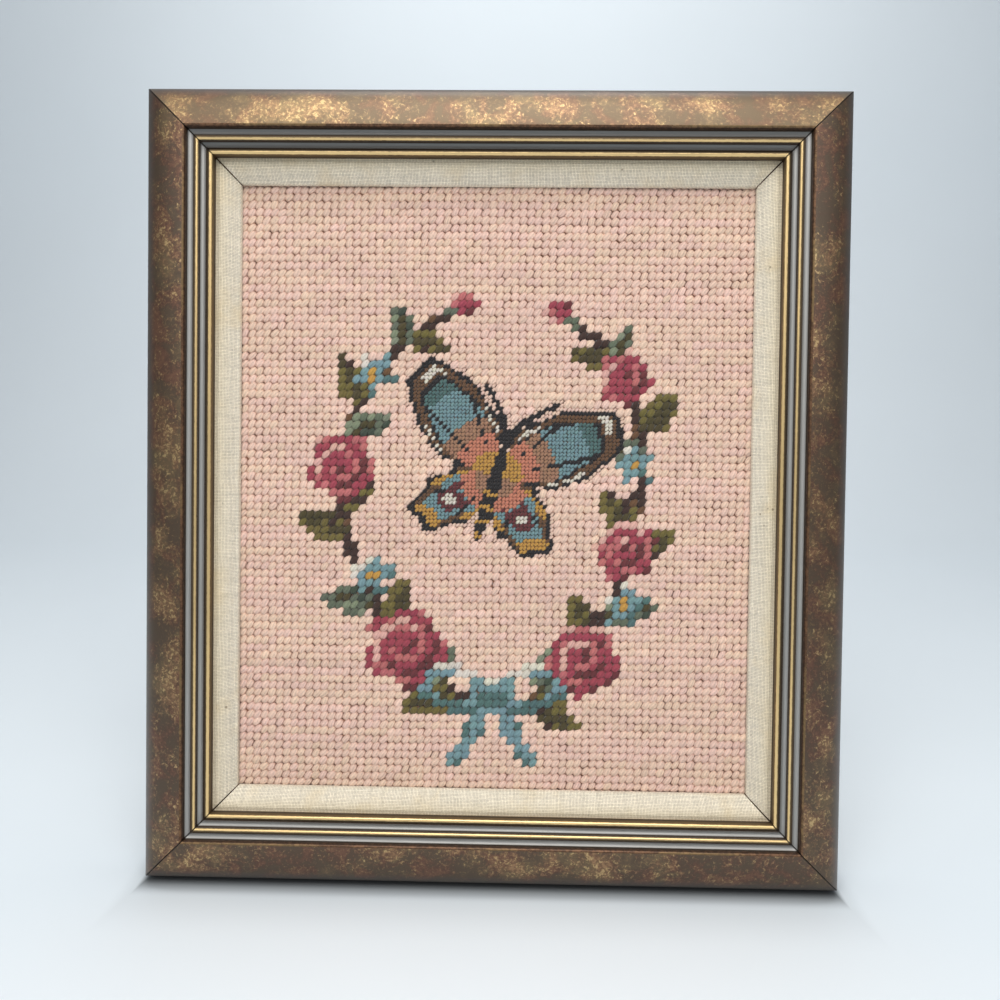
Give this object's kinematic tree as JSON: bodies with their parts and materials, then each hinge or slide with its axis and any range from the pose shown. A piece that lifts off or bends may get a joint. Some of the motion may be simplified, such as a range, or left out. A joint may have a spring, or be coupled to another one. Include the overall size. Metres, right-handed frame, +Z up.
{
  "type": "framed needlepoint picture",
  "caption": "Upright wool needlepoint stretched over a board behind a linen-covered liner, in a mitred wooden frame with a mottled bronze band and gilt beads.",
  "frame": {"origin": "middle of the underside of the whole object, half way through its depth", "axes": "+X right as seen from the front, +Y from the stitched face to the back, +Z up"},
  "size_m": [0.23, 0.02, 0.261],
  "materials": {
    "moulding": "mottled bronze wax over wood with dark grey coves and gilt beads",
    "linen": "plain-woven cream linen glued over wood",
    "wool_on_canvas": "slanted wool stitches, matt and softly twisted",
    "board": "plain pressed fibreboard"
  },
  "bodies": {
    "root": {"frame_rail_bottom": "moulding", "frame_rail_left": "moulding", "frame_rail_top": "moulding", "frame_rail_right": "moulding", "liner_bottom": "linen", "liner_left": "linen", "liner_top": "linen", "liner_right": "linen", "needlepoint_canvas": "wool_on_canvas", "mounting_board": "board"}
  },
  "joints": []
}
